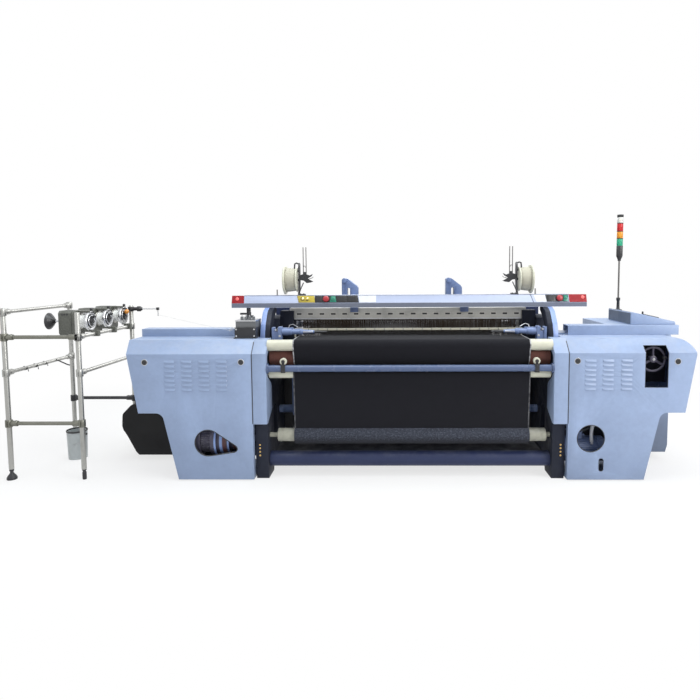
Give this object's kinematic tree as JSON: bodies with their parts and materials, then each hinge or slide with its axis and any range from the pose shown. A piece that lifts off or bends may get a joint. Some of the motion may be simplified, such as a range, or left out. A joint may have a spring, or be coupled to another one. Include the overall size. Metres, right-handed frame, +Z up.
{
  "type": "power loom",
  "caption": "Wide rapier weaving loom with side covers, cloth roll, reed, heald frames, warp beam, console beam, signal tower and a separate weft feeder stand.",
  "frame": {"origin": "on the floor under the middle of the whole machine's bounding box", "axes": "+X along the machine to the weaver's right, +Y from the weaver's side to the warp beam, +Z up"},
  "size_m": [4.87, 1.804, 1.905],
  "materials": {
    "cover_paint": "satin powder coat",
    "casting_paint": "satin paint on castings",
    "frame_paint": "dark satin paint on castings",
    "console_paint": "satin powder coat",
    "black_paint": "satin black",
    "black_plastic": "moulded, satin",
    "red_plastic": "moulded, glossy",
    "green_plastic": "moulded, glossy",
    "yellow_plastic": "moulded, satin",
    "lens": "translucent moulded lens",
    "bright_steel": "ground and polished",
    "dull_steel": "zinc plated",
    "aluminium": "extruded",
    "cream_paint": "satin",
    "emery_cover": "gritted covering",
    "iron_paint": "painted iron",
    "cloth": "twill weave",
    "roll_cloth": "twill weave",
    "warp": "parallel yarns",
    "feeder_paint": "moulded, satin",
    "pail": "moulded, satin",
    "yarn": "spun yarn"
  },
  "bodies": {
    "root": {"side_frame_left": "frame_paint", "side_frame_right": "frame_paint", "cross_members": "frame_paint", "breast_bar": "cream_paint", "woven_cloth": "cloth", "warp_sheet": "warp", "warp_stop_motion": "dull_steel", "heald_guides": "casting_paint", "left_front_cover": "cover_paint", "right_front_cover": "cover_paint", "inner_covers": "casting_paint", "rapier_box_left": "cover_paint", "rapier_box_right": "cover_paint", "left_drive_cover": "black_paint", "right_rear_cabinet": "cover_paint", "control_hood": "console_paint", "signal_tower": "black_plastic", "tower_lenses": "lens", "front_rail": "casting_paint", "temples": "casting_paint", "leno_brackets": "black_paint", "weft_selector": "black_paint", "console_beam": "console_paint", "end_lamps": "lens", "lamp_panel": "yellow_plastic", "console_brackets": "casting_paint", "main_motor": "casting_paint", "stand_tubes": "dull_steel", "stand_fittings": "black_plastic", "feeder_housings": "feeder_paint", "bucket": "pail", "weft_yarn": "yarn"},
    "emery_roller": {"emery_roller": "emery_cover"},
    "press_roller": {"press_roller": "bright_steel"},
    "guide_roller": {"guide_roller": "cream_paint"},
    "cloth_roll": {"cloth_roll_core": "cream_paint", "cloth_roll_fabric": "roll_cloth"},
    "warp_beam": {"warp_beam": "warp"},
    "back_rest": {"back_rest_roller": "bright_steel"},
    "sley": {"sley": "casting_paint", "reed": "bright_steel"},
    "odd_frames": {"heald_frames_odd": "aluminium"},
    "even_frames": {"heald_frames_even": "aluminium"},
    "hand_wheel": {"hand_wheel": "iron_paint"},
    "drive_pulley": {"drive_pulley": "dull_steel"},
    "leno_left": {"leno_bobbin_left": "cream_paint"},
    "leno_right": {"leno_bobbin_right": "cream_paint"},
    "rapier_left": {"rapier_left": "bright_steel"},
    "rapier_right": {"rapier_right": "bright_steel"},
    "feeder_disc_1": {"feeder_disc_1": "black_plastic"},
    "feeder_disc_2": {"feeder_disc_2": "black_plastic"},
    "feeder_disc_3": {"feeder_disc_3": "black_plastic"},
    "menu_button": {"menu_button": "black_plastic"},
    "left_stop_button": {"left_stop_button": "red_plastic"},
    "left_start_button": {"left_start_button": "green_plastic"},
    "left_forward_button": {"left_forward_button": "black_plastic"},
    "left_reverse_button": {"left_reverse_button": "black_plastic"},
    "right_reverse_button": {"right_reverse_button": "black_plastic"},
    "right_stop_button": {"right_stop_button": "red_plastic"},
    "right_start_button": {"right_start_button": "green_plastic"}
  },
  "joints": [
    {"name": "warp_beam_turn", "type": "hinge", "parent": "root", "child": "warp_beam", "pos_m": [0.44, 0.502, 0.43], "axis": [1, 0, 0], "continuous": true},
    {"name": "back_rest_turn", "type": "hinge", "parent": "root", "child": "back_rest", "pos_m": [0.44, 0.606, 0.985], "axis": [1, 0, 0], "continuous": true},
    {"name": "emery_turn", "type": "hinge", "parent": "root", "child": "emery_roller", "pos_m": [0.44, -0.762, 0.86], "axis": [1, 0, 0], "continuous": true},
    {"name": "press_turn", "type": "hinge", "parent": "root", "child": "press_roller", "pos_m": [0.44, -0.67949, 0.82997], "axis": [1, 0, 0], "continuous": true},
    {"name": "guide_turn", "type": "hinge", "parent": "root", "child": "guide_roller", "pos_m": [0.44, -0.804, 0.752], "axis": [1, 0, 0], "continuous": true},
    {"name": "cloth_roll_turn", "type": "hinge", "parent": "root", "child": "cloth_roll", "pos_m": [0.44, -0.782, 0.3], "axis": [1, 0, 0], "continuous": true},
    {"name": "sley_rock", "type": "hinge", "parent": "root", "child": "sley", "pos_m": [0.44, -0.424, 0.4], "axis": [-1, 0, 0], "range_deg": [-10.1, 0]},
    {"name": "odd_frames_lift", "type": "slide", "parent": "root", "child": "odd_frames", "axis": [0, 0, 1], "range_m": [-0.045, 0.045]},
    {"name": "even_frames_lift", "type": "slide", "parent": "root", "child": "even_frames", "axis": [0, 0, 1], "range_m": [-0.045, 0.045]},
    {"name": "rapier_left_run", "type": "slide", "parent": "root", "child": "rapier_left", "axis": [1, 0, 0], "range_m": [0, 0.901]},
    {"name": "rapier_right_run", "type": "slide", "parent": "root", "child": "rapier_right", "axis": [-1, 0, 0], "range_m": [0, 0.901]},
    {"name": "hand_wheel_turn", "type": "hinge", "parent": "root", "child": "hand_wheel", "pos_m": [2.142, -0.817, 0.846], "axis": [0, 1, 0], "continuous": true},
    {"name": "drive_pulley_turn", "type": "hinge", "parent": "root", "child": "drive_pulley", "pos_m": [-0.86, -0.742, 0.262], "axis": [1, 0, 0], "continuous": true},
    {"name": "leno_left_turn", "type": "hinge", "parent": "root", "child": "leno_left", "pos_m": [-0.463, -0.394, 1.405], "axis": [1, 0, 0], "continuous": true},
    {"name": "leno_right_turn", "type": "hinge", "parent": "root", "child": "leno_right", "pos_m": [1.343, -0.394, 1.405], "axis": [1, 0, 0], "continuous": true},
    {"name": "feeder_1_turn", "type": "hinge", "parent": "root", "child": "feeder_disc_1", "pos_m": [-1.9832, -0.632, 1.112], "axis": [1, 0, 0], "continuous": true},
    {"name": "feeder_2_turn", "type": "hinge", "parent": "root", "child": "feeder_disc_2", "pos_m": [-1.9832, -0.384, 1.112], "axis": [1, 0, 0], "continuous": true},
    {"name": "feeder_3_turn", "type": "hinge", "parent": "root", "child": "feeder_disc_3", "pos_m": [-1.9832, -0.136, 1.112], "axis": [1, 0, 0], "continuous": true},
    {"name": "menu_press", "type": "slide", "parent": "root", "child": "menu_button", "axis": [0, 0.9692, -0.2464], "range_m": [0, 0.0035], "stiffness_N_per_m": 400, "springref_m": -0.003},
    {"name": "left_stop_press", "type": "slide", "parent": "root", "child": "left_stop_button", "axis": [0, 0.9692, -0.2464], "range_m": [0, 0.0035], "stiffness_N_per_m": 400, "springref_m": -0.003},
    {"name": "left_start_press", "type": "slide", "parent": "root", "child": "left_start_button", "axis": [0, 0.9692, -0.2464], "range_m": [0, 0.0035], "stiffness_N_per_m": 400, "springref_m": -0.003},
    {"name": "left_forward_press", "type": "slide", "parent": "root", "child": "left_forward_button", "axis": [0, 0.9692, -0.2464], "range_m": [0, 0.0035], "stiffness_N_per_m": 400, "springref_m": -0.003},
    {"name": "left_reverse_press", "type": "slide", "parent": "root", "child": "left_reverse_button", "axis": [0, 0.9692, -0.2464], "range_m": [0, 0.0035], "stiffness_N_per_m": 400, "springref_m": -0.003},
    {"name": "right_reverse_press", "type": "slide", "parent": "root", "child": "right_reverse_button", "axis": [0, 0.9692, -0.2464], "range_m": [0, 0.0035], "stiffness_N_per_m": 400, "springref_m": -0.003},
    {"name": "right_stop_press", "type": "slide", "parent": "root", "child": "right_stop_button", "axis": [0, 0.9692, -0.2464], "range_m": [0, 0.0035], "stiffness_N_per_m": 400, "springref_m": -0.003},
    {"name": "right_start_press", "type": "slide", "parent": "root", "child": "right_start_button", "axis": [0, 0.9692, -0.2464], "range_m": [0, 0.0035], "stiffness_N_per_m": 400, "springref_m": -0.003}
  ],
  "couplings": [
    {"joint": "back_rest_turn", "follows": "warp_beam_turn", "ratio": 6},
    {"joint": "emery_turn", "follows": "warp_beam_turn", "ratio": 5.1724},
    {"joint": "press_turn", "follows": "warp_beam_turn", "ratio": -10.714},
    {"joint": "guide_turn", "follows": "warp_beam_turn", "ratio": 8.3333},
    {"joint": "cloth_roll_turn", "follows": "warp_beam_turn", "ratio": 4.6875},
    {"joint": "even_frames_lift", "follows": "odd_frames_lift", "ratio": -1},
    {"joint": "rapier_right_run", "follows": "rapier_left_run", "ratio": 1}
  ]
}
